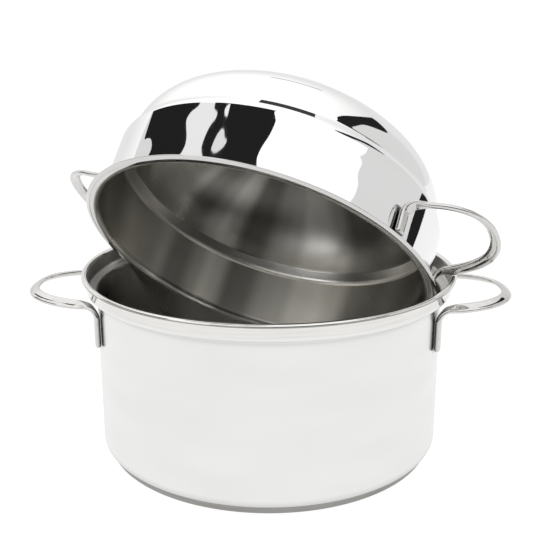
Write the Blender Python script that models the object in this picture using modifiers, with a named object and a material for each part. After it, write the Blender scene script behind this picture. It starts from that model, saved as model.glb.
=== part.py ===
"""Mussel pot: a steel stockpot with a sandwich base, and its deep domed lid leaning in it.

The pot's axis is Z and it stands on Z = 0. The lid is modelled upright in its own frame, mouth
down and dome up, and an empty then leans it into the pot. The lid is as deep as a bowl, because
it also holds the empty shells. Every length is in metres and every angle in degrees.
"""

import math

import bpy
from mathutils import Matrix, Vector
from mathutils.bvhtree import BVHTree

# Sheet metal and clearances
POT_SHEET = 0.0008
LID_SHEET = 0.0008
SEAT_GAP = 0.0003         # left between pieces that touch or are welded
LID_PLAY = 0.0035         # between the lid's rim and the pot's collar, all round

# Pot, outer radii and heights of the sheet
POT_WALL_R = 0.1210
POT_HEIGHT = 0.1292       # highest point of the pouring rim
POT_LEDGE_Z = 0.1160      # inner edge of the ledge that carries the closed lid
POT_LEDGE_RISE = 0.0021   # the ledge rises outwards by this much
POT_COLLAR_R = 0.1280     # wider collar above the ledge
POT_RIM_R = 0.1309        # the pouring rim, rolled over with its edge turned down
POT_RIM_LIP = 0.0023      # from the rim's top down to the sheet's edge
POT_CORNER_FILLET = 0.0040
LEDGE_OUTER_FILLET = 0.0030
LEDGE_INNER_FILLET = 0.0020
RIM_FILLET = 0.0009       # inside the roll

# Base: an aluminium disc under the pot, closed in by a steel cap
BASE_R = 0.1167
BASE_HEIGHT = 0.0047
BASE_EDGE_FILLET = 0.0008
CAP_SHEET = 0.0005

# Lid, in its own frame: Z = 0 is the plane of the mouth, the dome is up
LID_SKIRT_INSET = 0.0079  # from the rim's edge in to the foot of the skirt
LID_SKIRT_FLARE = 0.0013  # the skirt widens this much towards the shoulder
LID_SHOULDER_Z = 0.0474
LID_SHOULDER_FILLET = 0.0080
LID_DOME_INSET = 0.0113   # from the rim's edge in to the crease
LID_DOME_Z = 0.0547       # the crease where the dome starts
LID_HEIGHT = 0.1133
LID_DOME_POWER = 2.2      # 2 is an ellipse, more is squarer
LID_RIM_FILLET = 0.0037
LID_CURL_WIDTH = 0.0020   # the outer part of the rim, which curls up
LID_CURL_RISE = 0.0012
LID_CURL_FILLET = 0.0024

# Handles: a rod of flat oval section, bent into a loop whose two ends turn down as legs
ROD_WIDTH = 0.0078
ROD_THICKNESS = 0.0038
ROD_ROUNDNESS = 2.6       # 2 is an ellipse, more is squarer
ROD_LEAN = 28.0           # the loop's inner edge is raised by this angle
ROD_BEND_R = 0.0085
LOOP_INSET = 0.0055       # the loop's widest place is this far inside the wall
LOOP_POWER = 2.3
SPLAY_LENGTH = 0.0160     # over which the arms spread out to the legs

POT_HANDLE_REACH = 0.0462
POT_HANDLE_HALF = 0.0406
POT_HANDLE_Z = 0.1099
POT_HANDLE_RISE = 2.9
POT_LEG_HALF = 0.0453
POT_LEG_FOOT_Z = 0.0820
POT_RIGHT_TURN = -2.0     # about the pot's axis
POT_LEFT_TURN = 178.0

LID_HANDLE_REACH = 0.0400
LID_HANDLE_HALF = 0.0411
LID_HANDLE_Z = 0.0279
LID_LEG_HALF = 0.0425
LID_LEG_FOOT_Z = 0.0060
LID_RIGHT_RISE = 7.9      # the two are welded on by hand and differ a little
LID_RIGHT_TURN = 176.9    # about the lid's axis
LID_LEFT_RISE = 13.5
LID_LEFT_TURN = 4.0

# The lid's leaning place: its axis tips towards an azimuth, and it rests on the pot's rim
LEAN_AZIMUTH = 65.6
LEAN_TILT = 43.2
LEAN_SHIFT_X = -0.0083
LEAN_SHIFT_Y = -0.0181

# The lid's rim drops into the collar with some play, and the lid is sized from it
LID_RIM_R = POT_COLLAR_R - POT_SHEET - LID_PLAY
LID_SKIRT_R = LID_RIM_R - LID_SKIRT_INSET
LID_SKIRT_TOP_R = LID_SKIRT_R + LID_SKIRT_FLARE
LID_DOME_R = LID_RIM_R - LID_DOME_INSET

# Fineness of the meshes
TURN_STEPS = 56
ARC_STEP = 26.0           # largest turn from one point of an arc to the next
DOME_STEPS = 10
ROD_SIDES = 10
BEND_STEPS = 5
LOOP_STEPS = 22
MERGE_DISTANCE = 0.00005


def clear_scene():
    """Remove every object and collection, so the script can be run again."""
    for thing in list(bpy.data.objects):
        bpy.data.objects.remove(thing, do_unlink=True)
    for group in list(bpy.data.collections):
        bpy.data.collections.remove(group)


def new_collection(name):
    """A collection of the scene."""
    group = bpy.data.collections.new(name)
    bpy.context.scene.collection.children.link(group)
    return group


def steel(name, colour, roughness, metallic=1.0):
    """A Principled material for one piece of metal."""
    material = bpy.data.materials.new(name)
    material.use_nodes = True
    shader = material.node_tree.nodes["Principled BSDF"]
    shader.inputs["Base Color"].default_value = (*colour, 1.0)
    shader.inputs["Roughness"].default_value = roughness
    shader.inputs["Metallic"].default_value = metallic
    return material


def rounded(corners):
    """Points of an open outline of corners (r, z, fillet), with each fillet turned into an arc."""
    points = []
    for index, (r, z, fillet) in enumerate(corners):
        here = Vector((r, z))
        if fillet <= 0.0:
            points.append(here)
            continue
        before = (Vector(corners[index - 1][:2]) - here).normalized()
        after = (Vector(corners[index + 1][:2]) - here).normalized()
        half = before.angle(after) / 2
        centre = here + (before + after).normalized() * fillet / math.sin(half)
        start = here + before * fillet / math.tan(half) - centre
        turn = start.angle_signed(here + after * fillet / math.tan(half) - centre)
        steps = max(2, math.ceil(abs(turn) / math.radians(ARC_STEP)))
        for step in range(steps + 1):
            angle = -turn * step / steps
            points.append(centre + Matrix.Rotation(angle, 2) @ start)
    return points


def turned_shell(name, outline, sheet, material, group):
    """A sheet turned about Z from its outer outline, top to bottom, and thickened inwards."""
    mesh = bpy.data.meshes.new(name)
    points = [(point.x, 0.0, point.y) for point in outline]
    edges = [(index, index + 1) for index in range(len(points) - 1)]
    mesh.from_pydata(points, edges, [])
    shell = bpy.data.objects.new(name, mesh)
    group.objects.link(shell)
    shell.data.materials.append(material)
    screw = shell.modifiers.new("turn", "SCREW")
    screw.axis = "Z"
    screw.angle = math.tau
    screw.steps = TURN_STEPS
    screw.render_steps = TURN_STEPS
    screw.use_merge_vertices = True
    screw.merge_threshold = MERGE_DISTANCE
    screw.use_smooth_shade = True
    if sheet > 0.0:
        thicken = shell.modifiers.new("sheet", "SOLIDIFY")
        thicken.thickness = sheet
        thicken.offset = -1.0
        thicken.use_even_offset = True
    return shell


def pot_outline():
    """The pot's outer outline, from the pouring rim down to the middle of the underside."""
    return rounded([
        (POT_RIM_R - POT_SHEET, POT_HEIGHT - POT_RIM_LIP, 0.0),
        (POT_RIM_R - POT_SHEET, POT_HEIGHT - POT_SHEET, RIM_FILLET),
        (POT_COLLAR_R, POT_HEIGHT - POT_SHEET, RIM_FILLET),
        (POT_COLLAR_R, POT_LEDGE_Z + POT_LEDGE_RISE - POT_SHEET, LEDGE_OUTER_FILLET),
        (POT_WALL_R, POT_LEDGE_Z - POT_SHEET, LEDGE_INNER_FILLET),
        (POT_WALL_R, BASE_HEIGHT + SEAT_GAP, POT_CORNER_FILLET),
        (0.0, BASE_HEIGHT + SEAT_GAP, 0.0),
    ])


def make_pot(group):
    """The pot's body, pressed from one sheet."""
    material = steel("pot_steel", (0.62, 0.61, 0.59), 0.22)
    return turned_shell("pot_body", pot_outline(), POT_SHEET, material, group)


def make_base(group):
    """The steel cap under the pot and the aluminium disc sealed inside it."""
    cap_outline = rounded([
        (BASE_R, BASE_HEIGHT, 0.0),
        (BASE_R, 0.0, BASE_EDGE_FILLET),
        (0.0, 0.0, 0.0),
    ])
    cap_steel = steel("base_steel", (0.55, 0.54, 0.53), 0.30)
    cap = turned_shell("base_cap", cap_outline, CAP_SHEET, cap_steel, group)
    core_r = BASE_R - CAP_SHEET - SEAT_GAP
    core_z = CAP_SHEET + SEAT_GAP
    core_outline = rounded([
        (0.0, BASE_HEIGHT, 0.0),
        (core_r, BASE_HEIGHT, 0.0),
        (core_r, core_z, 0.0),
        (0.0, core_z, 0.0),
    ])
    core_metal = steel("core_aluminium", (0.80, 0.81, 0.82), 0.45)
    core = turned_shell("base_core", core_outline, 0.0, core_metal, group)
    return [cap, core]


def lid_outline():
    """The lid's outer outline, from the top of the dome down to the edge of the rim."""
    dome = []
    for step in range(DOME_STEPS):
        angle = math.pi / 2 * (1 - step / DOME_STEPS)
        across = math.cos(angle) ** (2 / LID_DOME_POWER) if step else 0.0
        up = math.sin(angle) ** (2 / LID_DOME_POWER)
        dome.append(Vector((LID_DOME_R * across, LID_DOME_Z + (LID_HEIGHT - LID_DOME_Z) * up)))
    skirt = rounded([
        (LID_DOME_R, LID_DOME_Z, 0.0),
        (LID_SKIRT_TOP_R, LID_SHOULDER_Z, LID_SHOULDER_FILLET),
        (LID_SKIRT_R, LID_SHEET, LID_RIM_FILLET),
        (LID_RIM_R - LID_CURL_WIDTH, LID_SHEET, LID_CURL_FILLET),
        (LID_RIM_R, LID_SHEET + LID_CURL_RISE, 0.0),
    ])
    return dome + skirt


def skirt_r(height):
    """Outer radius of the lid's skirt, which widens a little towards the shoulder."""
    return LID_SKIRT_R + (LID_SKIRT_TOP_R - LID_SKIRT_R) * height / LID_SHOULDER_Z


def make_lid(group):
    """The lid's shell."""
    material = steel("lid_steel", (0.66, 0.65, 0.63), 0.08)
    return turned_shell("lid_shell", lid_outline(), LID_SHEET, material, group)


def make_rod_section(guides):
    """The closed outline of the rod's flat oval section, as a curve for the handles to follow."""
    curve = bpy.data.curves.new("rod_section", "CURVE")
    curve.dimensions = "2D"
    spline = curve.splines.new("POLY")
    spline.points.add(ROD_SIDES - 1)
    spline.use_cyclic_u = True
    for index, point in enumerate(spline.points):
        angle = -math.tau * (index + 0.5) / ROD_SIDES
        across = math.copysign(abs(math.cos(angle)) ** (2 / ROD_ROUNDNESS), math.cos(angle))
        along = math.copysign(abs(math.sin(angle)) ** (2 / ROD_ROUNDNESS), math.sin(angle))
        point.co = (ROD_WIDTH / 2 * across, ROD_THICKNESS / 2 * along, 0.0, 1.0)
    section = bpy.data.objects.new("rod_section", curve)
    section.hide_render = True
    section.display_type = "WIRE"
    guides.objects.link(section)
    return section


def handle_side(wall_r, leg_r, reach, half, leg_half, height, rise, foot_z):
    """Half of a handle's centre line: points from the foot of one leg to the loop's tip.

    X runs outwards from the pot's axis, Y along the wall and Z up. Each point comes with the
    lean of the rod's section there, in radians, and with how far it is full size.
    """
    tilt = math.radians(rise)
    leg_x = math.sqrt(leg_r ** 2 - leg_half ** 2)
    inner_x = wall_r - LOOP_INSET
    span = reach + LOOP_INSET
    bend_x = leg_x + ROD_BEND_R * (1 - math.sin(tilt))
    bend_z = height + (bend_x - wall_r) * math.tan(tilt) - ROD_BEND_R * math.cos(tilt)
    splay_x = leg_x + SPLAY_LENGTH
    lean = math.radians(ROD_LEAN)

    def across(x):
        share = min(max((x - inner_x) / span, 0.0), 1.0)
        loop_y = half * (1 - share ** LOOP_POWER) ** (1 / LOOP_POWER)
        spread = min(max((splay_x - x) / SPLAY_LENGTH, 0.0), 1.0)
        return loop_y + (leg_half - half) * spread ** 2

    def twist(x):
        share = min(max((x - leg_x) / SPLAY_LENGTH, 0.0), 1.0)
        return lean * share * share * (3 - 2 * share)

    side = []
    for rounding, size in ((0.0, 0.45), (0.2, 0.8), (0.6, 1.0)):
        side.append((Vector((leg_x, leg_half, foot_z + rounding * ROD_THICKNESS)), 0.0, size))
    for step in range(BEND_STEPS + 1):
        angle = (math.pi / 2 - tilt) * step / BEND_STEPS
        x = leg_x + ROD_BEND_R * (1 - math.cos(angle))
        z = bend_z + ROD_BEND_R * math.sin(angle)
        side.append((Vector((x, across(x), z)), twist(x), 1.0))
    first = math.asin(((bend_x - inner_x) / span) ** (LOOP_POWER / 2))
    for step in range(1, LOOP_STEPS // 2 + 1):
        angle = first + (math.pi / 2 - first) * step / (LOOP_STEPS // 2)
        x = inner_x + span * math.sin(angle) ** (2 / LOOP_POWER)
        y = across(x) if step < LOOP_STEPS // 2 else 0.0
        side.append((Vector((x, y, height + (x - wall_r) * math.tan(tilt))), twist(x), 1.0))
    return side


def make_handle(name, sizes, turn, parent, section, material, group):
    """One handle: the rod's section swept along the loop and turned to its place."""
    half = handle_side(*sizes)
    other_half = [(Vector((p.x, -p.y, p.z)), lean, size) for p, lean, size in half[-2::-1]]
    stations = half + other_half
    points = [station[0] for station in stations]
    curve = bpy.data.curves.new(name, "CURVE")
    curve.dimensions = "3D"
    curve.twist_mode = "MINIMUM"
    curve.bevel_mode = "OBJECT"
    curve.bevel_object = section
    curve.use_fill_caps = True
    spline = curve.splines.new("POLY")
    spline.points.add(len(points) - 1)
    carried = Vector((1.0, 0.0, 0.0))
    heading = Vector((0.0, 0.0, 1.0))
    tilt = 0.0
    for index, (point, lean, size) in enumerate(stations):
        after = (points[min(index + 1, len(points) - 1)] - point).normalized()
        before = (point - points[max(index - 1, 0)]).normalized()
        along = (after + before).normalized()
        carried = heading.rotation_difference(along) @ carried
        heading = along
        foot = points[0] if index < len(half) else points[-1]
        tilt = nearest_turn(signed_angle(carried, wide_axis(foot, along, lean), along), tilt)
        spline.points[index].co = (*point, 1.0)
        spline.points[index].tilt = tilt
        spline.points[index].radius = size
    handle = bpy.data.objects.new(name, curve)
    handle.rotation_euler.z = math.radians(turn)
    handle.parent = parent
    handle.data.materials.append(material)
    group.objects.link(handle)
    return handle


def wide_axis(foot, along, lean):
    """The direction of the section's width, towards the middle of the handle.

    On a leg, with no lean yet, it lies flat on the wall. On the loop it lies level, raised by
    the lean, and between the two it turns from one to the other.
    """
    around = math.atan2(foot.y, foot.x)
    side = math.copysign(1.0, around)
    on_wall = Vector((math.sin(abs(around)), -side * math.cos(around), 0.0))
    share = lean / math.radians(ROD_LEAN)
    wide = on_wall
    if share > 0.0:
        level = along.cross(Vector((0.0, 0.0, 1.0))).normalized()
        raised = level * math.cos(lean) + level.cross(along) * math.sin(lean)
        wide = on_wall * (1.0 - share) + raised * share
    return (wide - along * wide.dot(along)).normalized()


def signed_angle(start, end, axis):
    """Right-handed angle about an axis from one direction to another."""
    return math.atan2(axis.dot(start.cross(end)), start.dot(end))


def nearest_turn(angle, previous):
    """The same section turned by whole or half turns, as close as possible to the one before."""
    half_turns = round((previous - angle) / math.pi)
    return angle + half_turns * math.pi


def make_handles(group, section, pot_frame, lid_frame):
    """The two handles of the pot and the two of the lid."""
    pot_leg_r = POT_WALL_R + SEAT_GAP + ROD_THICKNESS / 2
    lid_wall_r = skirt_r(LID_HANDLE_Z)
    lid_leg_r = lid_wall_r + SEAT_GAP + ROD_THICKNESS / 2
    handles = []
    for side, turn in (("right", POT_RIGHT_TURN), ("left", POT_LEFT_TURN)):
        sizes = (POT_WALL_R, pot_leg_r, POT_HANDLE_REACH, POT_HANDLE_HALF, POT_LEG_HALF,
                 POT_HANDLE_Z, POT_HANDLE_RISE, POT_LEG_FOOT_Z)
        rod = steel(f"pot_rod_{side}", (0.68, 0.67, 0.65), 0.12)
        handles.append(make_handle(f"pot_handle_{side}", sizes, turn, pot_frame, section, rod,
                                   group))
    for side, turn, rise in (("right", LID_RIGHT_TURN, LID_RIGHT_RISE),
                             ("left", LID_LEFT_TURN, LID_LEFT_RISE)):
        sizes = (lid_wall_r, lid_leg_r, LID_HANDLE_REACH, LID_HANDLE_HALF, LID_LEG_HALF,
                 LID_HANDLE_Z, rise, LID_LEG_FOOT_Z)
        rod = steel(f"lid_rod_{side}", (0.68, 0.67, 0.65), 0.12)
        handles.append(make_handle(f"lid_handle_{side}", sizes, turn, lid_frame, section, rod,
                                   group))
    return handles


def make_frame(name, group):
    """An empty that carries the pieces of one body."""
    frame = bpy.data.objects.new(name, None)
    group.objects.link(frame)
    return frame


def surface_tree(pieces, lift):
    """A search tree of the pieces' evaluated meshes in world space, raised by lift."""
    depsgraph = bpy.context.evaluated_depsgraph_get()
    corners = []
    faces = []
    for piece in pieces:
        shape = piece.evaluated_get(depsgraph)
        mesh = shape.to_mesh()
        first = len(corners)
        for vertex in mesh.vertices:
            corners.append(shape.matrix_world @ vertex.co + Vector((0.0, 0.0, lift)))
        for face in mesh.polygons:
            faces.append([first + index for index in face.vertices])
        shape.to_mesh_clear()
    return BVHTree.FromPolygons(corners, faces)


def lean_lid(frame, lid_pieces, pot_pieces):
    """Lean the lid into the pot: lower it until it touches, then lift it by the seat gap."""
    frame.rotation_euler = (math.radians(LEAN_TILT), 0.0, math.radians(LEAN_AZIMUTH + 90.0))
    frame.location = (LEAN_SHIFT_X, LEAN_SHIFT_Y, POT_HEIGHT)
    bpy.context.view_layer.update()
    pot_tree = surface_tree(pot_pieces, 0.0)
    touching = 0.0
    clear = LID_RIM_R
    while clear - touching > SEAT_GAP / 10:
        lift = (clear + touching) / 2
        if surface_tree(lid_pieces, lift).overlap(pot_tree):
            touching = lift
        else:
            clear = lift
    slope = math.cos(math.radians(LEAN_TILT))
    frame.location.z += clear + SEAT_GAP / slope
    bpy.context.view_layer.update()
    print("lid rim centre", [round(value * 1000, 2) for value in frame.location], "mm")


def main():
    """Build the mussel pot."""
    clear_scene()
    group = new_collection("mussel_pot")
    guides = new_collection("guides")
    pot_frame = make_frame("pot_frame", group)
    lid_frame = make_frame("lid_frame", group)
    section = make_rod_section(guides)
    pot = make_pot(group)
    base = make_base(group)
    lid = make_lid(group)
    handles = make_handles(group, section, pot_frame, lid_frame)
    for piece in [pot] + base:
        piece.parent = pot_frame
    lid.parent = lid_frame
    lid_pieces = [lid] + [piece for piece in handles if piece.parent == lid_frame]
    pot_pieces = [pot] + [piece for piece in handles if piece.parent == pot_frame]
    lean_lid(lid_frame, lid_pieces, pot_pieces)


main()
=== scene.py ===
"""Looks of the mussel pot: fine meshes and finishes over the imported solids, in a white studio.

The pot's axis is Z and it stands on Z = 0. The lid's pieces are built upright in the lid's own
frame, mouth down and dome up, and leaned into the pot. The fine pieces repeat the outlines of the
solids in smaller steps. Every length is in metres and every angle in degrees.
"""

import math

import bpy
from mathutils import Euler, Matrix, Vector
from mathutils.geometry import tessellate_polygon


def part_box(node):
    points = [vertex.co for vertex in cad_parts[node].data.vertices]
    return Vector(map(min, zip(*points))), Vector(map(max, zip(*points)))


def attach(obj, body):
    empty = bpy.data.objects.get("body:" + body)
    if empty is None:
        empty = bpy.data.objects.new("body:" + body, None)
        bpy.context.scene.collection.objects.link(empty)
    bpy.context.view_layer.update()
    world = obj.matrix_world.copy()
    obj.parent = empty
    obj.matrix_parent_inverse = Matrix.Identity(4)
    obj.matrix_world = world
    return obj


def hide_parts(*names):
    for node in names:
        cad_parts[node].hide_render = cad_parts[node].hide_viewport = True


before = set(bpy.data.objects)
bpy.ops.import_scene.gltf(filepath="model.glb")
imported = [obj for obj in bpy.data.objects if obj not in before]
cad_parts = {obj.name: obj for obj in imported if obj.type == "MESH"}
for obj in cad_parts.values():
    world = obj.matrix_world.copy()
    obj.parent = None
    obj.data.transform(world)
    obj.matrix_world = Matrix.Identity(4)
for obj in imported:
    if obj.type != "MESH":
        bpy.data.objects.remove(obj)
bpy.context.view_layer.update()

# Sheet metal and clearances, as in the solids
POT_SHEET = 0.0008
LID_SHEET = 0.0008
SEAT_GAP = 0.0003
LID_PLAY = 0.0035

# Pot
POT_WALL_R = 0.1210
POT_HEIGHT = 0.1292
POT_LEDGE_Z = 0.1160
POT_LEDGE_RISE = 0.0021
POT_COLLAR_R = 0.1280
POT_RIM_R = 0.1309
POT_RIM_LIP = 0.0023
RIM_FILLET = 0.0009
POT_CORNER_FILLET = 0.0040
LEDGE_OUTER_FILLET = 0.0030
LEDGE_INNER_FILLET = 0.0020

# Where the pot's finishes change
POT_RIM_BAND = 0.0036     # the polished rim reaches this far from the sheet's edge
POT_LIP_EDGE = 0.0009     # height of the painted shade on the lower edge of the rim's lip
POT_FLOOR_TOP = 0.0064    # inside, the floor's finish ends at this height
POT_FOOT_TOP = 0.0054     # outside, the painted shade of the foot round the base ends at this height
POT_FOOT_SHADE = 0.0110   # from this height down to the foot the wall's colour gets a little painted shade

# Base
BASE_R = 0.1167
BASE_HEIGHT = 0.0047
BASE_EDGE_FILLET = 0.0008
CAP_SHEET = 0.0005

# Lid
LID_SKIRT_INSET = 0.0079
LID_SKIRT_FLARE = 0.0013
LID_SHOULDER_Z = 0.0474
LID_SHOULDER_FILLET = 0.0080
LID_DOME_INSET = 0.0113
LID_DOME_Z = 0.0547
LID_DOME_FILLET = 0.0030  # at the foot of the dome, where the solids have a plain edge
LID_HEIGHT = 0.1133
LID_DOME_POWER = 2.2
LID_CURL_WIDTH = 0.0020
LID_CURL_RISE = 0.0012
LID_CURL_FILLET = 0.0024
LID_RIM_FILLET = 0.0037
LID_RIM_R = POT_COLLAR_R - POT_SHEET - LID_PLAY
LID_SKIRT_R = LID_RIM_R - LID_SKIRT_INSET
LID_SKIRT_TOP_R = LID_SKIRT_R + LID_SKIRT_FLARE
LID_DOME_R = LID_RIM_R - LID_DOME_INSET
LEAN_AZIMUTH = 65.6
LEAN_TILT = 43.2
LEAN_SHIFT_X = -0.0083
LEAN_SHIFT_Y = -0.0181

# Where the lid's finishes change
LID_RIM_BAND = 0.0050     # the polished rim reaches this far from the sheet's edge
LID_BAND_FOOT = 0.0440    # inside, a smoother band between skirt and dome starts at this height
LID_BAND_TOP = 0.0536     # and ends at this one

# Handles
ROD_WIDTH = 0.0078
ROD_THICKNESS = 0.0038
ROD_ROUNDNESS = 2.6
ROD_LEAN = 28.0
ROD_BEND_R = 0.0085
ROD_FOOT_HEIGHT = 0.6     # a leg's rounded foot, as a share of the rod's thickness
ROD_FOOT_SIZE = 0.45      # the section at the very foot, as a share of the full one
LOOP_INSET = 0.0055
LOOP_POWER = 2.3
SPLAY_LENGTH = 0.0160
POT_HANDLE_REACH = 0.0462
POT_HANDLE_HALF = 0.0406
POT_HANDLE_Z = 0.1099
POT_HANDLE_RISE = 2.9
POT_LEG_HALF = 0.0453
POT_LEG_FOOT_Z = 0.0820
POT_RIGHT_TURN = -2.0
POT_LEFT_TURN = 178.0
LID_HANDLE_REACH = 0.0400
LID_HANDLE_HALF = 0.0411
LID_HANDLE_Z = 0.0279
LID_LEG_HALF = 0.0425
LID_LEG_FOOT_Z = 0.0060
LID_RIGHT_RISE = 7.9
LID_RIGHT_TURN = 176.9
LID_LEFT_RISE = 13.5
LID_LEFT_TURN = 4.0

# Fineness of the meshes
TURN_STEPS = 288
ARC_STEP = 5.0
DOME_STEPS = 60
EDGE_STEPS = 6            # round the edge of a sheet
ROD_SIDES = 32
FOOT_STEPS = 6
LEG_STEPS = 4
BEND_STEPS = 14
LOOP_STEPS = 120
SHARP_ANGLE = 40.0
ON_AXIS = 1e-9            # a point with a smaller radius lies on the axis

# Finishes of a turned sheet, as places in its list of materials
OUTSIDE = 0
INSIDE = 1
RIM = 2
POT_FLOOR = 3
POT_PAINTED_SHADE = 4              # painted shade in the base's dark colour: on the foot round the base, and on the lower edge of the rim's lip
LID_BAND = 3

# Grain of the metal: scales round the axis and along the profile
SHEET_GRAIN = (2.0, 60.0)
RIM_GRAIN = (4.0, 1200.0)
BASE_GRAIN = (6.0, 900.0)
ROD_GRAIN = (1.5, 300.0)
CORE_GRAIN = (4.0, 900.0)
NOISE_ROUGHNESS = 0.6
NOISE_LACUNARITY = 2.37
NOISE_RANGE = (0.3, 0.7)  # the values that the noise usually takes
LINES_SHARE = 0.6         # what the fine lines give of the tone, the clouds give the rest
CLOUD_SPREAD = 1.3        # scale of the clouds round the axis, against that of the lines
CLOUD_ALONG = 14.0        # their scale along the profile
CLOUD_DETAIL = 1.0
GRAIN_DEPTH = 0.0002
GRAIN_TURN = 0.25         # draws the highlights out across the grain

# Painted shade close to another surface and at the wall's foot, as shares of the full tone
CORNER_OPEN = (0.3, 0.9)  # how open a place is where the shade is full, and where it ends
CORNER_TONE = 0.16
CORNER_SAMPLES = 8
FOOT_TONE = 0.74

# Painted reflections: soft stripes of lighter and darker tone along the height of a brushed
# inside, standing for the stripes that it mirrors: azimuth in the piece, and tone
LID_PAINTED_REFLECTIONS = (
    (-180.0, 0.80), (-155.0, 0.34), (-137.0, 0.30), (-126.0, 0.38), (-118.0, 0.30),
    (-107.0, 0.32), (-99.0, 0.70), (-90.0, 1.00), (-83.0, 1.00), (-77.0, 0.72), (-70.0, 0.60),
    (-62.0, 0.30), (-55.0, 0.30), (-49.0, 0.85), (-45.0, 0.95), (-40.0, 0.62), (-34.0, 0.42),
    (-29.0, 0.50), (-23.0, 1.00), (-17.0, 0.82), (-10.0, 0.80), (0.0, 0.95), (12.0, 0.80),
    (25.0, 0.95), (60.0, 0.90), (90.0, 1.00), (120.0, 0.90), (150.0, 0.95), (180.0, 0.80),
)
POT_PAINTED_REFLECTIONS = (
    (-180.0, 0.35), (-165.0, 0.45), (-150.0, 0.30), (-130.0, 0.50), (-110.0, 0.35),
    (-90.0, 0.60), (-70.0, 0.40), (-45.0, 0.60), (-20.0, 0.45), (0.0, 0.60), (25.0, 0.40),
    (50.0, 0.60), (80.0, 0.40), (110.0, 0.60), (135.0, 0.35), (160.0, 0.50), (180.0, 0.35),
)

# Camera: the photograph is 540 pixels square
PHOTO_SIDE = 540.0
FOCAL_PIXELS = 864.36
SENSOR = 36.0
CAMERA_PLACE = (0.0007, -0.5928, 0.2923)
CAMERA_PITCH = 15.794
CAMERA_NEAR = 0.01

# Light of the studio, seen from the pot as (azimuth, elevation): azimuth 0 is the front and 90
# the right
STUDIO_MIDDLE = (0.0, 0.0, 0.15)
MATT_LEVEL = 0.75         # what matt surfaces get
WALL_LEVEL = 0.84
CEILING_LEVEL = 1.22
CEILING_WAY = (-100.0, 72.0)
CEILING_REACH = 34.0
CEILING_BLUR = 40.0
FLOOR_REACH = 4.0
FLOOR_DROP = 0.0003       # the floor lies this far under the pot
FLOOR_TONE = 0.9
FLOOR_LEVEL = 1.02        # its glow in reflections
FLOOR_SEEN_MORE = 0.10    # what the camera sees on top of that
FLOOR_GLOW_SHARE = 0.85   # glow against matt tone, for reflections and the camera
LAMP_SIZE = (1.6, 1.2)
LAMP_POWER = 12.0
LAMP_PLACE = (-0.3, -0.4, 1.9)
LAMP_AIM = (0.0, 0.0, 0.1)

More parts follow.
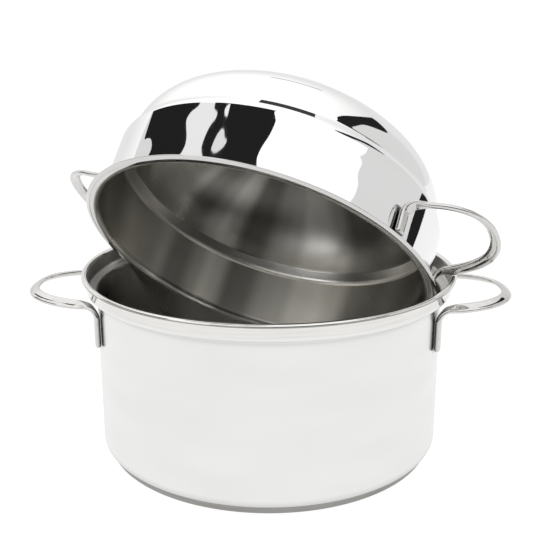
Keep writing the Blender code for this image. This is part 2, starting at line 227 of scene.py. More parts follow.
# Cards round the pot that its metal mirrors: name, outline, distance and level of light. An
# outline is given before its corners are softened.
CARD_CUTS = 2
CARD_CUT_SHARE = 0.25     # of a side, taken off at each of its ends by each cut
DARK = 0.016
CARDS = (
    ("card_left", (
        (-134.5, 25.5), (-133.4, 24.1), (-132.0, 24.0), (-130.5, 24.0), (-129.6, 24.6),
        (-128.1, 26.4), (-124.9, 29.6), (-121.5, 31.9), (-121.5, 30.7), (-123.6, 28.4),
        (-121.0, 28.0), (-112.0, 38.2), (-104.0, 46.6), (-101.6, 49.0), (-100.6, 51.2),
        (-103.0, 50.6), (-106.0, 49.2), (-109.2, 47.6), (-108.6, 49.2), (-106.4, 51.6),
        (-105.4, 52.8), (-107.5, 53.5), (-112.5, 50.5), (-123.0, 39.5),
    ), 3.0, DARK),
    ("card_front", (
        (-76.0, 57.0), (-82.5, 60.6), (-86.8, 59.3), (-88.8, 58.9), (-89.8, 59.4),
        (-90.1, 60.5), (-87.8, 62.5), (-89.5, 62.4), (-92.1, 61.2), (-95.0, 60.0),
        (-97.5, 61.5), (-92.0, 65.5), (-78.0, 71.2), (-62.0, 75.0), (-40.0, 77.5),
        (-15.0, 79.0), (8.0, 78.0), (8.0, 76.2), (3.0, 75.2), (-2.9, 74.2), (3.4, 73.2),
        (5.4, 72.7), (2.0, 72.0), (-5.2, 71.7), (-8.3, 71.1), (-6.3, 70.4), (-4.1, 70.0),
        (0.0, 67.0), (-4.0, 62.0), (-30.0, 58.0), (-60.0, 56.0),
    ), 3.0, DARK),
    ("card_gleam", (
        (-77.2, 65.7), (-78.4, 65.0), (-79.3, 64.1), (-79.2, 63.4), (-78.4, 63.0),
        (-76.7, 63.5), (-74.4, 64.1), (-71.4, 65.1), (-69.0, 66.0), (-66.8, 66.8),
        (-65.6, 67.3), (-64.4, 68.0), (-66.2, 67.9), (-69.8, 67.1), (-73.8, 66.7),
    ), 2.7, 0.80),
    ("card_glint", (
        (-85.0, 65.0), (-80.5, 67.5), (-70.0, 71.0), (-58.0, 74.0), (-66.0, 70.4),
        (-76.0, 67.4), (-81.0, 65.7),
    ), 2.9, 1.0),
    ("card_between", (
        (-113.0, 47.0), (-112.0, 50.5), (-100.0, 57.5), (-92.0, 63.0), (-84.0, 62.0),
        (-81.0, 58.5), (-90.0, 56.0), (-98.0, 49.5), (-105.0, 46.0),
    ), 3.4, 0.90),
    ("card_notch", (
        (-134.0, 20.5), (-134.0, 25.0), (-127.0, 31.0), (-120.0, 34.0), (-118.0, 30.0),
        (-124.0, 25.0), (-128.0, 20.5),
    ), 3.4, 0.76),
    ("card_arc", (
        (66.0, 52.0), (72.0, 55.5), (85.0, 55.0), (100.0, 51.5), (118.0, 44.0), (134.0, 34.0),
        (137.0, 31.0), (130.0, 28.0), (123.0, 27.5), (113.0, 35.0), (100.0, 43.0), (86.0, 45.0),
        (74.0, 45.0),
    ), 3.0, DARK),
    ("card_shoulder", (
        (177.5, 41.6), (177.5, 42.9), (173.3, 43.9), (169.5, 44.2), (165.3, 44.3),
        (161.2, 43.8), (157.5, 42.6), (155.5, 41.6), (156.0, 40.6), (157.9, 41.1),
        (161.2, 42.3), (165.3, 42.9), (169.5, 42.8), (173.3, 42.4),
    ), 3.0, 0.05),
    ("card_panel", (
        (-14.0, 76.0), (74.4, 76.0), (74.4, 24.0), (-14.0, 24.0),
    ), 3.2, 1.20),
    ("card_torn", (
        (77.0, 34.2), (75.7, 35.2), (74.1, 36.6), (75.5, 34.6), (75.9, 33.9), (74.7, 34.4),
        (74.6, 33.6), (75.5, 32.0), (74.8, 31.3), (72.8, 32.4), (69.0, 34.0), (63.0, 38.0),
        (63.0, 43.5), (73.0, 43.5), (78.0, 38.0), (78.3, 34.4),
    ), 3.2, 1.20),
    ("card_pale", (
        (62.0, -2.0), (62.0, 40.0), (66.0, 48.0), (86.0, 50.0), (100.0, 47.0), (118.0, 38.5),
        (130.0, 30.0), (132.0, 20.0), (130.0, -2.0), (96.0, -2.0),
    ), 3.6, 0.76),
    ("card_right", (
        (105.7, 2.1), (116.8, 2.1), (116.8, -5.2), (105.7, -5.2),
    ), 1.41, DARK),
)
ROOM = (                  # the dim room in front: from azimuth, to azimuth, level
    (-112.0, -84.0, 0.20),
    (-84.0, -58.0, 0.14),
    (-58.0, -33.0, 1.15),
    (-33.0, -14.0, 0.55),
    (-14.0, 2.0, 0.26),
    (2.0, 38.0, 0.07),
    (38.0, 62.0, 0.34),
    (62.0, 71.0, 0.16),
)
ROOM_FOOT = 0.5           # elevations of its lower and upper edge
ROOM_HEAD = 24.0
ROOM_DISTANCE = 3.1
ROOM_STEPS = 4            # faces across each part of it


def rounded(corners):
    """Points of an open outline of corners (r, z, fillet), with each fillet turned into an arc."""
    points = []
    for index, (r, z, fillet) in enumerate(corners):
        here = Vector((r, z))
        if fillet <= 0.0:
            points.append(here)
            continue
        before = (Vector(corners[index - 1][:2]) - here).normalized()
        after = (Vector(corners[index + 1][:2]) - here).normalized()
        half = before.angle(after) / 2
        centre = here + (before + after).normalized() * fillet / math.sin(half)
        start = here + before * fillet / math.tan(half) - centre
        turn = start.angle_signed(here + after * fillet / math.tan(half) - centre)
        steps = max(2, math.ceil(abs(turn) / math.radians(ARC_STEP)))
        for step in range(steps + 1):
            angle = -turn * step / steps
            points.append(centre + Matrix.Rotation(angle, 2) @ start)
    return points


def sheet_line(outline, sheet):
    """The other face of a sheet whose outer outline runs from the top down."""
    line = []
    for index, here in enumerate(outline):
        before = here - outline[max(index - 1, 0)]
        after = outline[min(index + 1, len(outline) - 1)] - here
        if index == 0:
            before = after
        if index == len(outline) - 1:
            after = before
        first = Vector((before.y, -before.x)).normalized()
        second = Vector((after.y, -after.x)).normalized()
        middle = (first + second).normalized()
        offset = middle * sheet / middle.dot(first)
        if here.x == 0.0:
            offset = Vector((0.0, math.copysign(sheet, offset.y)))
        line.append(here + offset)
    return line


def trimmed(outline, length):
    """An outline with that length cut off its start."""
    outline = list(outline)
    while (outline[1] - outline[0]).length < length:
        length -= (outline[1] - outline[0]).length
        outline.pop(0)
    outline[0] = outline[0] + (outline[1] - outline[0]).normalized() * length
    return outline


def sheet_edge(outer, inner):
    """Points round the edge of a sheet, from one face to the other."""
    middle = (outer + inner) / 2
    arm = outer - middle
    points = []
    for step in range(1, EDGE_STEPS):
        points.append(middle + Matrix.Rotation(-math.pi * step / EDGE_STEPS, 2) @ arm)
    return points


def shell_profile(outline, sheet, rim_band):
    """The closed profile of a sheet whose rim is the outline's first point, and its finishes.

    There is one finish for each step of the profile: OUTSIDE, INSIDE or, near the sheet's edge,
    RIM.
    """
    outline = trimmed(outline, sheet / 2)
    inner = sheet_line(outline, sheet)
    edge = sheet_edge(inner[0], outline[0])
    profile = outline + inner[::-1] + edge
    finishes = []
    for index, point in enumerate(profile):
        near_rim = min((point - inner[0]).length, (point - outline[0]).length)
        finish = OUTSIDE if index < len(outline) else INSIDE
        finishes.append(RIM if near_rim < rim_band else finish)
    return profile, finishes


def mesh_object(name, corners, faces):
    """A mesh object of these corners and faces, in the scene."""
    mesh = bpy.data.meshes.new(name)
    mesh.from_pydata(corners, [], faces)
    made = bpy.data.objects.new(name, mesh)
    bpy.context.scene.collection.objects.link(made)
    return made


def mesh_piece(name, corners, faces, face_finish, materials, grain, across):
    """A smooth mesh object with its finishes, its grain and the direction across the grain."""
    piece = mesh_object(name, corners, faces)
    mesh = piece.data
    for material in materials:
        mesh.materials.append(material)
    mesh.polygons.foreach_set("material_index", face_finish)
    mesh.shade_smooth()
    mesh.set_sharp_from_angle(angle=math.radians(SHARP_ANGLE))
    for field_name, vectors in (("grain", grain), ("across", across)):
        field = mesh.attributes.new(field_name, "FLOAT_VECTOR", "POINT")
        field.data.foreach_set("vector", [value for vector in vectors for value in vector])
    return piece


def turned(name, profile, finishes, materials):
    """A closed solid turned from a profile of (r, z) points, with a finish for each step of it.

    Each point also carries where it lies round the axis and along the profile, for the grain.
    """
    corners = []
    grain = []
    across = []
    rings = []
    along = 0.0
    for index, point in enumerate(profile):
        if index:
            along += (point - profile[index - 1]).length
        if point.x < ON_AXIS:
            rings.append([len(corners)] * TURN_STEPS)
            corners.append((0.0, 0.0, point.y))
            grain.append((0.0, 0.0, along))
            across.append((1.0, 0.0, 0.0))
            continue
        rings.append(list(range(len(corners), len(corners) + TURN_STEPS)))
        for step in range(TURN_STEPS):
            angle = math.tau * step / TURN_STEPS
            corners.append((point.x * math.cos(angle), point.x * math.sin(angle), point.y))
            grain.append((math.cos(angle), math.sin(angle), along))
            across.append((-math.sin(angle), math.cos(angle), 0.0))
    faces = []
    face_finish = []
    for index, here in enumerate(rings):
        there = rings[(index + 1) % len(rings)]
        if here[0] == here[1] and there[0] == there[1]:
            continue
        for step in range(TURN_STEPS):
            onward = (step + 1) % TURN_STEPS
            face = [here[step], there[step], there[onward], here[onward]]
            if here[0] == here[1]:
                face = [here[step], there[step], there[onward]]
            if there[0] == there[1]:
                face = [here[step], there[step], here[onward]]
            faces.append(face)
            face_finish.append(finishes[index])
    return mesh_piece(name, corners, faces, face_finish, materials, grain, across)


def place_mesh(piece, place):
    """Move a piece's mesh and its directions, so that its object stays at the origin."""
    piece.data.transform(place)
    turn = place.to_3x3()
    for entry in piece.data.attributes["across"].data:
        entry.vector = turn @ entry.vector


def settle(piece, body, node):
    """Put a fine piece on its body, in place of the solid that it refines."""
    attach(piece, body)
    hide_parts(node)


def pot_outline():
    """The pot's outer outline, from the pouring rim down to the middle of the underside."""
    return rounded([
        (POT_RIM_R - POT_SHEET, POT_HEIGHT - POT_RIM_LIP, 0.0),
        (POT_RIM_R - POT_SHEET, POT_HEIGHT - POT_SHEET, RIM_FILLET),
        (POT_COLLAR_R, POT_HEIGHT - POT_SHEET, RIM_FILLET),
        (POT_COLLAR_R, POT_LEDGE_Z + POT_LEDGE_RISE - POT_SHEET, LEDGE_OUTER_FILLET),
        (POT_WALL_R, POT_LEDGE_Z - POT_SHEET, LEDGE_INNER_FILLET),
        (POT_WALL_R, BASE_HEIGHT + SEAT_GAP, POT_CORNER_FILLET),
        (0.0, BASE_HEIGHT + SEAT_GAP, 0.0),
    ])


def lid_outline():
    """The lid's outer outline, from the top of the dome down to the edge of the rim."""
    dome = []
    for step in range(DOME_STEPS):
        angle = math.pi / 2 * (1 - step / DOME_STEPS)
        across = math.cos(angle) ** (2 / LID_DOME_POWER) if step else 0.0
        up = math.sin(angle) ** (2 / LID_DOME_POWER)
        dome.append(Vector((LID_DOME_R * across, LID_DOME_Z + (LID_HEIGHT - LID_DOME_Z) * up)))
    skirt = rounded([
        (*dome.pop(), 0.0),
        (LID_DOME_R, LID_DOME_Z, LID_DOME_FILLET),
        (LID_SKIRT_TOP_R, LID_SHOULDER_Z, LID_SHOULDER_FILLET),
        (LID_SKIRT_R, LID_SHEET, LID_RIM_FILLET),
        (LID_RIM_R - LID_CURL_WIDTH, LID_SHEET, LID_CURL_FILLET),
        (LID_RIM_R, LID_SHEET + LID_CURL_RISE, 0.0),
    ])
    return dome + skirt


def make_pot(looks):
    """The pot's body."""
    profile, finishes = shell_profile(pot_outline(), POT_SHEET, POT_RIM_BAND)
    for index, point in enumerate(profile):
        if finishes[index] == INSIDE and point.y < POT_FLOOR_TOP:
            finishes[index] = POT_FLOOR
        # Painted shade on the foot round the base
        if finishes[index] == OUTSIDE and point.y < POT_FOOT_TOP:
            finishes[index] = POT_PAINTED_SHADE
        # Painted shade under the rim, on the lower edge of its lip
        on_lip = point.x > POT_COLLAR_R + POT_SHEET
        if on_lip and point.y < POT_HEIGHT - POT_RIM_LIP + POT_LIP_EDGE:
            finishes[index] = POT_PAINTED_SHADE
    names = ("pot_outside", "pot_inside", "rim", "pot_floor", "base")
    return turned("pot_body_fine", profile, finishes, [looks[name] for name in names])


def make_base(looks):
    """The steel cap of the sandwich base."""
    outline = rounded([
        (BASE_R, BASE_HEIGHT, 0.0),
        (BASE_R, 0.0, BASE_EDGE_FILLET),
        (0.0, 0.0, 0.0),
    ])
    profile, _ = shell_profile(outline, CAP_SHEET, 0.0)
    return turned("base_cap_fine", profile, [OUTSIDE] * len(profile), [looks["base"]])


def make_lid(looks):
    """The lid's shell, in the lid's own frame."""
    # A sheet's profile is worked out with its rim on top, so here the lid is upside down
    mirrored = [Vector((point.x, -point.y)) for point in lid_outline()[::-1]]
    profile, finishes = shell_profile(mirrored, LID_SHEET, LID_RIM_BAND)
    upright = [Vector((point.x, -point.y)) for point in profile][::-1]
    # Reversed points: step 0 is now the one that ended at the last point
    count = len(profile)
    finishes = [finishes[(count - 2 - index) % count] for index in range(count)]
    for index, point in enumerate(upright):
        if finishes[index] == INSIDE and LID_BAND_FOOT < point.y < LID_BAND_TOP:
            finishes[index] = LID_BAND
    names = ("lid_outside", "lid_inside", "lid_rim", "lid_band")
    return turned("lid_shell_fine", upright, finishes, [looks[name] for name in names])


def leaning_place(lid):
    """The lid's frame in the pot: leaned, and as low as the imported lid."""
    lean = Euler((math.radians(LEAN_TILT), 0.0, math.radians(LEAN_AZIMUTH + 90.0))).to_matrix()
    lowest = min((lean @ vertex.co).z for vertex in lid.data.vertices)
    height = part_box("lid_shell")[0].z - lowest
    place = Matrix.Translation((LEAN_SHIFT_X, LEAN_SHIFT_Y, height))
    return place @ lean.to_4x4()


def handle_side(wall_r, leg_r, reach, half, leg_half, height, rise, foot_z):
    """Half of a handle's centre line: points from the foot of one leg to the loop's tip.

    X runs outwards from the axis of the pot or the lid, Y along the wall and Z up. Each point
    comes with the lean of the rod's section there, in radians, and with how far it is full
    size.
    """
    tilt = math.radians(rise)
    leg_x = math.sqrt(leg_r ** 2 - leg_half ** 2)
    inner_x = wall_r - LOOP_INSET
    span = reach + LOOP_INSET
    bend_x = leg_x + ROD_BEND_R * (1 - math.sin(tilt))
    bend_z = height + (bend_x - wall_r) * math.tan(tilt) - ROD_BEND_R * math.cos(tilt)
    splay_x = leg_x + SPLAY_LENGTH
    lean = math.radians(ROD_LEAN)

    def across(x):
        """How far the line runs from the handle's middle: the loop, and its splay to the leg."""
        share = min(max((x - inner_x) / span, 0.0), 1.0)
        loop_y = half * (1 - share ** LOOP_POWER) ** (1 / LOOP_POWER)
        closeness = min(max((splay_x - x) / SPLAY_LENGTH, 0.0), 1.0)
        return loop_y + (leg_half - half) * closeness ** 2

    def twist(x):
        """The section's lean, which grows smoothly over the splay."""
        share = min(max((x - leg_x) / SPLAY_LENGTH, 0.0), 1.0)
        return lean * share * share * (3 - 2 * share)

    side = []
    for step in range(FOOT_STEPS + 1):
        angle = math.pi / 2 * step / FOOT_STEPS
        z = foot_z + ROD_THICKNESS * ROD_FOOT_HEIGHT * (1 - math.cos(angle))
        size = ROD_FOOT_SIZE + (1 - ROD_FOOT_SIZE) * math.sin(angle)
        side.append((Vector((leg_x, leg_half, z)), 0.0, size))
    foot_top = side[-1][0].z
    for step in range(1, LEG_STEPS):
        z = foot_top + (bend_z - foot_top) * step / LEG_STEPS
        side.append((Vector((leg_x, leg_half, z)), 0.0, 1.0))
    for step in range(BEND_STEPS + 1):
        angle = (math.pi / 2 - tilt) * step / BEND_STEPS
        x = leg_x + ROD_BEND_R * (1 - math.cos(angle))
        z = bend_z + ROD_BEND_R * math.sin(angle)
        side.append((Vector((x, across(x), z)), twist(x), 1.0))
    half_steps = LOOP_STEPS // 2
    first = math.asin(((bend_x - inner_x) / span) ** (LOOP_POWER / 2))
    for step in range(1, half_steps + 1):
        angle = first + (math.pi / 2 - first) * step / half_steps
        x = inner_x + span * math.sin(angle) ** (2 / LOOP_POWER)
        y = across(x) if step < half_steps else 0.0
        side.append((Vector((x, y, height + (x - wall_r) * math.tan(tilt))), twist(x), 1.0))
    return side


def wide_axis(foot, along, lean):
    """The direction of the section's width: flat on the wall on a leg, leaning on the loop."""
    around = math.atan2(foot.y, foot.x)
    side = math.copysign(1.0, around)
    on_wall = Vector((math.sin(abs(around)), -side * math.cos(around), 0.0))
    share = lean / math.radians(ROD_LEAN)
    wide = on_wall
    if share > 0.0:
        level = along.cross(Vector((0.0, 0.0, 1.0))).normalized()
        raised = level * math.cos(lean) + level.cross(along) * math.sin(lean)
        wide = on_wall * (1.0 - share) + raised * share
    return (wide - along * wide.dot(along)).normalized()


def flattened(value):
    """A cosine or sine pushed outwards, which turns a circle into the rod's flat oval."""
    return math.copysign(abs(value) ** (2 / ROD_ROUNDNESS), value)


def make_handle(name, sizes, material):
    """One handle: the rod's oval section swept along the loop, as a closed mesh."""
    half = handle_side(**sizes)
    other_half = [(Vector((p.x, -p.y, p.z)), lean, size) for p, lean, size in half[-2::-1]]
    stations = half + other_half
    points = [station[0] for station in stations]
    corners = []
    grain = []
    across = []
    wide = Vector((0.0, 0.0, 0.0))
    travelled = 0.0
    for index, (point, lean, size) in enumerate(stations):
        after = (points[min(index + 1, len(points) - 1)] - point).normalized()
        before = (point - points[max(index - 1, 0)]).normalized()
        travelled += (point - points[max(index - 1, 0)]).length
        along = (after + before).normalized()
        foot = points[0] if index < len(half) else points[-1]
        previous = wide
        wide = wide_axis(foot, along, lean)
        if wide.dot(previous) < 0.0:
            wide = -wide
        thin = along.cross(wide)
        for step in range(ROD_SIDES):
            angle = math.tau * step / ROD_SIDES
            x = flattened(math.cos(angle))
            y = flattened(math.sin(angle))
            corners.append(point + (wide * x * ROD_WIDTH + thin * y * ROD_THICKNESS) * size / 2)
            grain.append((math.cos(angle), math.sin(angle), travelled))
            across.append(along)
    faces = [list(range(ROD_SIDES))[::-1]]
    for ring in range(len(stations) - 1):
        for step in range(ROD_SIDES):
            onward = (step + 1) % ROD_SIDES
            here = ring * ROD_SIDES
            there = here + ROD_SIDES
            faces.append([here + step, here + onward, there + onward, there + step])
    last = (len(stations) - 1) * ROD_SIDES
    faces.append(list(range(last, last + ROD_SIDES)))
    return mesh_piece(name, corners, faces, [0] * len(faces), [material], grain, across)


def add_handle(solid, body, sizes, place, material):
    """The fine form of one handle's solid, built along X and put in its place."""
    handle = make_handle(f"{solid}_fine", sizes, material)
    place_mesh(handle, place)
    settle(handle, body, solid)


def make_handles(looks, lid_frame):
    """The two handles of the pot and the two of the lid, each in its place."""
    lid_wall_r = LID_SKIRT_R + (LID_SKIRT_TOP_R - LID_SKIRT_R) * LID_HANDLE_Z / LID_SHOULDER_Z
    leg_offset = SEAT_GAP + ROD_THICKNESS / 2
    pot_sizes = {
        "wall_r": POT_WALL_R,
        "leg_r": POT_WALL_R + leg_offset,
        "reach": POT_HANDLE_REACH,
        "half": POT_HANDLE_HALF,
        "leg_half": POT_LEG_HALF,
        "height": POT_HANDLE_Z,
        "rise": POT_HANDLE_RISE,
        "foot_z": POT_LEG_FOOT_Z,
    }
    lid_sizes = {
        "wall_r": lid_wall_r,
        "leg_r": lid_wall_r + leg_offset,
        "reach": LID_HANDLE_REACH,
        "half": LID_HANDLE_HALF,
        "leg_half": LID_LEG_HALF,
        "height": LID_HANDLE_Z,
        "foot_z": LID_LEG_FOOT_Z,
    }
    for side, turn in (("right", POT_RIGHT_TURN), ("left", POT_LEFT_TURN)):
        place = Matrix.Rotation(math.radians(turn), 4, "Z")
        add_handle(f"pot_handle_{side}", "pot", pot_sizes, place, looks["rod"])
    for side, turn, rise in (("right", LID_RIGHT_TURN, LID_RIGHT_RISE),
                             ("left", LID_LEFT_TURN, LID_LEFT_RISE)):
        place = lid_frame @ Matrix.Rotation(math.radians(turn), 4, "Z")
        add_handle(f"lid_handle_{side}", "lid", {**lid_sizes, "rise": rise}, place, looks["rod"])


def shader_node(tree, kind, inputs=None, **settings):
    """A shader node with its settings, and its inputs set or linked."""
    made = tree.nodes.new(kind)
    for key, value in settings.items():
        setattr(made, key, value)
    for key, value in (inputs or {}).items():
        if isinstance(value, bpy.types.NodeSocket):
            tree.links.new(value, made.inputs[key])
        else:
            made.inputs[key].default_value = value
    return made


def multiplied(tree, first, second):
    """Two vectors, colours or values multiplied part by part."""
    return shader_node(tree, "ShaderNodeVectorMath", {0: first, 1: second},
                       operation="MULTIPLY").outputs["Vector"]


def mapped(tree, value, source, target, interpolation="LINEAR"):
    """A value mapped from one range to another, and held at its ends."""
    return shader_node(tree, "ShaderNodeMapRange", {
        "Value": value,
        "From Min": source[0],
        "From Max": source[1],
        "To Min": target[0],
        "To Max": target[1],
    }, interpolation_type=interpolation).outputs["Result"]


def between(tree, share, first, second):
    """A colour between two others."""
    mixed = shader_node(tree, "ShaderNodeMix", {"Factor": share}, data_type="RGBA")
    colours = {"A": (*first, 1.0), "B": (*second, 1.0)}
    for socket in mixed.inputs:
        if socket.type == "RGBA":
            socket.default_value = colours[socket.name]
    return [socket for socket in mixed.outputs if socket.type == "RGBA"][0]


def grain_noise(tree, round_scale, along_scale, detail=0.0):
    """Noise drawn out round the axis, with its scales round the axis and along the profile."""
    grain = shader_node(tree, "ShaderNodeAttribute", attribute_name="grain")
    scales = (round_scale, round_scale, along_scale)
    return shader_node(tree, "ShaderNodeTexNoise", {
        "Vector": multiplied(tree, grain.outputs["Vector"], scales),
        "Scale": 1.0,
        "Detail": detail,
        "Roughness": NOISE_ROUGHNESS,
        "Lacunarity": NOISE_LACUNARITY,
    }).outputs["Fac"]


def painted_reflection_stripes(tree, stripes):
    """Painted reflections: the tone of stripes along the height of a turned piece, listed from
    -180 to 180 degrees.
    """
    grain = shader_node(tree, "ShaderNodeAttribute", attribute_name="grain")
    parts = shader_node(tree, "ShaderNodeSeparateXYZ", {"Vector": grain.outputs["Vector"]})
    around = shader_node(tree, "ShaderNodeMath", {
        0: parts.outputs["Y"],
        1: parts.outputs["X"],
    }, operation="ARCTAN2")
    share = shader_node(tree, "ShaderNodeMath", {
        0: around.outputs[0],
        1: 1 / math.tau,
        2: 0.5,
    }, operation="MULTIPLY_ADD")
    ramp = shader_node(tree, "ShaderNodeValToRGB", {"Fac": share.outputs[0]})
    ramp.color_ramp.interpolation = "EASE"
    stops = ramp.color_ramp.elements
    for azimuth, _ in stripes[1:-1]:
        stops.new(azimuth / 360.0 + 0.5)
    for stop, (_, tone) in zip(stops, stripes):
        stop.color = (tone, tone, tone, 1.0)
    return ramp.outputs["Color"]


def metal(name, dark, light, rough, grain, bump=0.0, anisotropy=0.0, stripes=None, corner=0.0,
          foot=None):
    """Metal: its darkest and lightest colour, its lowest and highest roughness, and its grain.

    Within the distance called corner of another surface its colour gets a painted shade, and
    so does a foot between two heights, darker towards the lower one.
    """
    material = bpy.data.materials.new(name)
    material.use_nodes = True
    tree = material.node_tree
    shader = tree.nodes["Principled BSDF"]
    shader.inputs["Metallic"].default_value = 1.0
    lines = grain_noise(tree, *grain)
    clouds = grain_noise(tree, grain[0] * CLOUD_SPREAD, CLOUD_ALONG, CLOUD_DETAIL)
    tone = shader_node(tree, "ShaderNodeMath", {
        0: mapped(tree, lines, NOISE_RANGE, (0.0, LINES_SHARE)),
        1: mapped(tree, clouds, NOISE_RANGE, (0.0, 1.0 - LINES_SHARE)),
    }, operation="ADD")
    colour = between(tree, tone.outputs[0], dark, light)
    # Painted reflections: stripes of tone round the axis, multiplied into the colour
    if stripes:
        colour = multiplied(tree, colour, painted_reflection_stripes(tree, stripes))
    # Painted shade: the colour darkens close to another surface, by ambient occlusion
    if corner > 0.0:
        openness = shader_node(tree, "ShaderNodeAmbientOcclusion", {"Distance": corner},
                               samples=CORNER_SAMPLES).outputs["AO"]
        shade = mapped(tree, openness, CORNER_OPEN, (CORNER_TONE, 1.0))
        colour = multiplied(tree, colour, shade)
    # Painted shade: the colour darkens between the foot's two heights, towards the lower one
    if foot:
        place = shader_node(tree, "ShaderNodeNewGeometry").outputs["Position"]
        height = shader_node(tree, "ShaderNodeSeparateXYZ", {"Vector": place}).outputs["Z"]
        shade = mapped(tree, height, foot, (FOOT_TONE, 1.0))
        colour = multiplied(tree, colour, shade)
    tree.links.new(colour, shader.inputs["Base Color"])
    tree.links.new(mapped(tree, clouds, NOISE_RANGE, rough), shader.inputs["Roughness"])
    if bump > 0.0:
        relief = shader_node(tree, "ShaderNodeBump", {
            "Height": lines,
            "Strength": bump,
            "Distance": GRAIN_DEPTH,
        })
        tree.links.new(relief.outputs["Normal"], shader.inputs["Normal"])
    if anisotropy > 0.0:
        grain_way = shader_node(tree, "ShaderNodeAttribute", attribute_name="across")
        tree.links.new(grain_way.outputs["Vector"], shader.inputs["Tangent"])
        shader.inputs["Anisotropic"].default_value = anisotropy
        shader.inputs["Anisotropic Rotation"].default_value = GRAIN_TURN
    return material


def make_looks():
    """Every finish of the object."""
    return {
        # The outside gets painted shade near other surfaces and towards its foot
        "pot_outside": metal(
            "pot_outside", dark=(0.82, 0.82, 0.81), light=(0.86, 0.86, 0.85),
            rough=(0.22, 0.27), grain=SHEET_GRAIN, corner=0.008,
            foot=(POT_FOOT_TOP, POT_FOOT_SHADE)),
        # The brushed insides carry painted reflection stripes
        "pot_inside": metal(
            "pot_inside", dark=(0.88, 0.86, 0.82), light=(1.0, 0.98, 0.94),
            rough=(0.26, 0.34), grain=SHEET_GRAIN, anisotropy=0.85, stripes=POT_PAINTED_REFLECTIONS),
        "pot_floor": metal(
            "pot_floor", dark=(0.88, 0.87, 0.84), light=(0.96, 0.95, 0.92),
            rough=(0.22, 0.30), grain=SHEET_GRAIN),
        "rim": metal(
            "rim_polished", dark=(0.76, 0.75, 0.73), light=(0.84, 0.83, 0.81),
            rough=(0.05, 0.10), grain=RIM_GRAIN, bump=0.02),
        "lid_rim": metal(
            "lid_rim_polished", dark=(0.62, 0.615, 0.60), light=(0.70, 0.69, 0.68),
            rough=(0.05, 0.10), grain=RIM_GRAIN),
        # The base's colour, also used for the painted shade on the pot's foot and under the rim's
        # lip
        "base": metal(
            "base_satin_and_painted_shade", dark=(0.30, 0.295, 0.285), light=(0.36, 0.355, 0.34),
            rough=(0.28, 0.36), grain=BASE_GRAIN, bump=0.02),
        "lid_outside": metal(
            "lid_mirror", dark=(0.87, 0.87, 0.865), light=(0.90, 0.90, 0.895),
            rough=(0.015, 0.035), grain=SHEET_GRAIN),
        "lid_inside": metal(
            "lid_brushed", dark=(0.88, 0.86, 0.81), light=(0.96, 0.94, 0.89),
            rough=(0.26, 0.34), grain=SHEET_GRAIN, anisotropy=0.85, stripes=LID_PAINTED_REFLECTIONS),
        "lid_band": metal(
            "lid_band", dark=(0.92, 0.90, 0.86), light=(1.0, 0.98, 0.94),
            rough=(0.20, 0.28), grain=SHEET_GRAIN),
        # The rods get painted shade near other surfaces
        "rod": metal(
            "rod_polished", dark=(0.63, 0.62, 0.605), light=(0.71, 0.70, 0.685),
            rough=(0.04, 0.09), grain=ROD_GRAIN, bump=0.01, corner=0.010),
        "core": metal(
            "core_aluminium_fine", dark=(0.76, 0.77, 0.78), light=(0.84, 0.85, 0.86),
            rough=(0.40, 0.50), grain=CORE_GRAIN, bump=0.05),
    }


def direction(azimuth, elevation):
    """A direction from the pot: azimuth 0 is towards the front and 90 to the right."""
    around = math.radians(azimuth)
    up = math.radians(elevation)
    return Vector((math.sin(around) * math.cos(up), -math.cos(around) * math.cos(up),
                   math.sin(up)))


def studio_point(azimuth, elevation, distance):
    """The point of the studio that lies in a direction, at a distance from its middle."""
    return Vector(STUDIO_MIDDLE) + direction(azimuth, elevation) * distance


def softened(outline):
    """A closed outline with its corners cut."""
    for _ in range(CARD_CUTS):
        cut = []
        for index, here in enumerate(outline):
            there = outline[(index + 1) % len(outline)]
            for share in (CARD_CUT_SHARE, 1.0 - CARD_CUT_SHARE):
                cut.append(tuple(a + (b - a) * share for a, b in zip(here, there)))
        outline = cut
    return outline


def bare_paint(name):
    """A material that has only its output yet."""
    paint = bpy.data.materials.new(name)
    paint.use_nodes = True
    paint.node_tree.nodes.remove(paint.node_tree.nodes["Principled BSDF"])
    return paint


def hang(name, corners, faces, level):
    """Add a studio card with its level of light, seen by reflections alone."""
    card = mesh_object(name, corners, faces)
    paint = bare_paint(name)
    tree = paint.node_tree
    glow = shader_node(tree, "ShaderNodeEmission", {
        "Color": (level, level, level, 1.0),
        "Strength": 1.0,
    })
    tree.links.new(glow.outputs[0], tree.nodes["Material Output"].inputs["Surface"])
    card.data.materials.append(paint)
    card.visible_camera = False
    card.visible_diffuse = False
    card.visible_shadow = False
    card.visible_transmission = False


def make_card(name, outline, distance, level):
    """One card with a softened outline."""
    outline = softened(outline)
    corners = [studio_point(*place, distance) for place in outline]
    faces = tessellate_polygon([[Vector((*place, 0.0)) for place in outline]])
    hang(name, corners, faces, level)


def make_room(index, start, end, level):
    """One part of the dim room in front, a strip of faces round the pot."""
    corners = []
    for step in range(ROOM_STEPS + 1):
        azimuth = start + (end - start) * step / ROOM_STEPS
        for elevation in (ROOM_FOOT, ROOM_HEAD):
            corners.append(studio_point(azimuth, elevation, ROOM_DISTANCE))
    faces = []
    for step in range(ROOM_STEPS):
        first = step * 2
        faces.append((first, first + 2, first + 3, first + 1))
    hang(f"room_{index}", corners, faces, level)


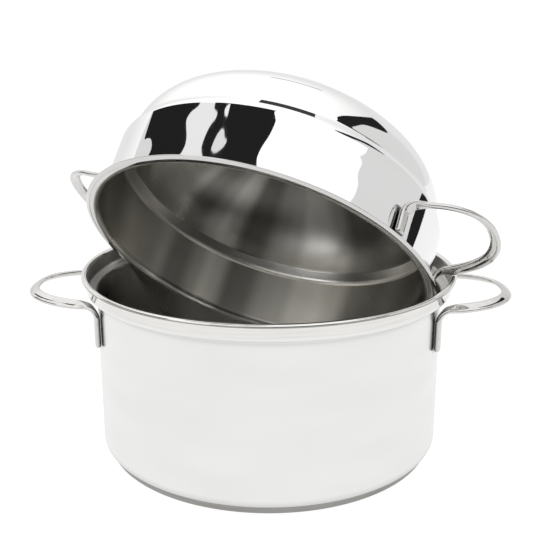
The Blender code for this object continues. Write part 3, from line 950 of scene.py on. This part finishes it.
def make_world():
    """A white world with a brighter ceiling. The camera sees plain white."""
    world = bpy.data.worlds.new("studio")
    bpy.context.scene.world = world
    world.use_nodes = True
    tree = world.node_tree
    way = shader_node(tree, "ShaderNodeTexCoord")
    towards = shader_node(tree, "ShaderNodeVectorMath", {
        0: way.outputs["Generated"],
        1: direction(*CEILING_WAY),
    }, operation="DOT_PRODUCT")
    edges = (math.cos(math.radians(CEILING_REACH + CEILING_BLUR)),
             math.cos(math.radians(CEILING_REACH)))
    ceiling = mapped(tree, towards.outputs["Value"], edges, (WALL_LEVEL, CEILING_LEVEL),
                     interpolation="SMOOTHSTEP")
    path = shader_node(tree, "ShaderNodeLightPath")
    by_ray = shader_node(tree, "ShaderNodeMix", {
        "Factor": path.outputs["Is Glossy Ray"],
        "A": MATT_LEVEL,
        "B": ceiling,
    })
    seen = shader_node(tree, "ShaderNodeMix", {
        "Factor": path.outputs["Is Camera Ray"],
        "A": by_ray.outputs[0],
        "B": 1.0,
    })
    background = tree.nodes["Background"]
    background.inputs["Color"].default_value = (1.0, 1.0, 1.0, 1.0)
    tree.links.new(seen.outputs[0], background.inputs["Strength"])


def make_floor():
    """The white floor: matt under the pot, and a glow for reflections and the camera."""
    corners = [(x * FLOOR_REACH, y * FLOOR_REACH, -FLOOR_DROP)
               for x, y in ((-1, -1), (1, -1), (1, 1), (-1, 1))]
    floor = mesh_object("floor", corners, [(0, 1, 2, 3)])
    paint = bare_paint("floor_white")
    tree = paint.node_tree
    matt = shader_node(tree, "ShaderNodeBsdfDiffuse", {
        "Color": (FLOOR_TONE, FLOOR_TONE, FLOOR_TONE, 1.0),
    })
    path = shader_node(tree, "ShaderNodeLightPath")
    level = shader_node(tree, "ShaderNodeMath", {
        0: path.outputs["Is Camera Ray"],
        1: FLOOR_SEEN_MORE,
        2: FLOOR_LEVEL,
    }, operation="MULTIPLY_ADD")
    glow = shader_node(tree, "ShaderNodeEmission", {
        "Color": (1.0, 1.0, 1.0, 1.0),
        "Strength": level.outputs[0],
    })
    seen = shader_node(tree, "ShaderNodeMath", {
        0: path.outputs["Is Camera Ray"],
        1: path.outputs["Is Glossy Ray"],
    }, operation="MAXIMUM")
    share = shader_node(tree, "ShaderNodeMath", {
        0: seen.outputs[0],
        1: FLOOR_GLOW_SHARE,
    }, operation="MULTIPLY")
    mixed = shader_node(tree, "ShaderNodeMixShader", {
        0: share.outputs[0],
        1: matt.outputs[0],
        2: glow.outputs[0],
    })
    tree.links.new(mixed.outputs[0], tree.nodes["Material Output"].inputs["Surface"])
    floor.data.materials.append(paint)


def make_lamp():
    """The lamp over the pot, which reflections don't see."""
    lamp = bpy.data.lights.new("overhead", "AREA")
    lamp.shape = "RECTANGLE"
    lamp.size = LAMP_SIZE[0]
    lamp.size_y = LAMP_SIZE[1]
    lamp.energy = LAMP_POWER
    overhead = bpy.data.objects.new("overhead", lamp)
    overhead.location = LAMP_PLACE
    beam = Vector(LAMP_AIM) - Vector(LAMP_PLACE)
    overhead.rotation_euler = beam.to_track_quat("-Z", "Y").to_euler()
    overhead.visible_glossy = False
    bpy.context.scene.collection.objects.link(overhead)


def make_camera():
    """The camera of the photograph."""
    lens = bpy.data.cameras.new("camera")
    lens.sensor_width = SENSOR
    lens.lens = FOCAL_PIXELS / PHOTO_SIDE * SENSOR
    lens.clip_start = CAMERA_NEAR
    camera = bpy.data.objects.new("camera", lens)
    camera.location = CAMERA_PLACE
    camera.rotation_euler = (math.radians(90.0 - CAMERA_PITCH), 0.0, 0.0)
    scene = bpy.context.scene
    scene.collection.objects.link(camera)
    scene.camera = camera
    scene.view_settings.view_transform = "Standard"


def make_studio():
    """The white world and floor, the cards, the lamp and the camera."""
    make_world()
    for card in CARDS:
        make_card(*card)
    for index, part in enumerate(ROOM):
        make_room(index, *part)
    make_floor()
    make_lamp()
    make_camera()


def main():
    """Build every fine piece and the studio, and give the sealed core its finish."""
    looks = make_looks()
    make_studio()
    settle(make_pot(looks), "pot", "pot_body")
    settle(make_base(looks), "pot", "base_cap")
    lid = make_lid(looks)
    lid_frame = leaning_place(lid)
    place_mesh(lid, lid_frame)
    settle(lid, "lid", "lid_shell")
    make_handles(looks, lid_frame)
    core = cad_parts["base_core"]
    core.data.materials.clear()
    core.data.materials.append(looks["core"])


main()
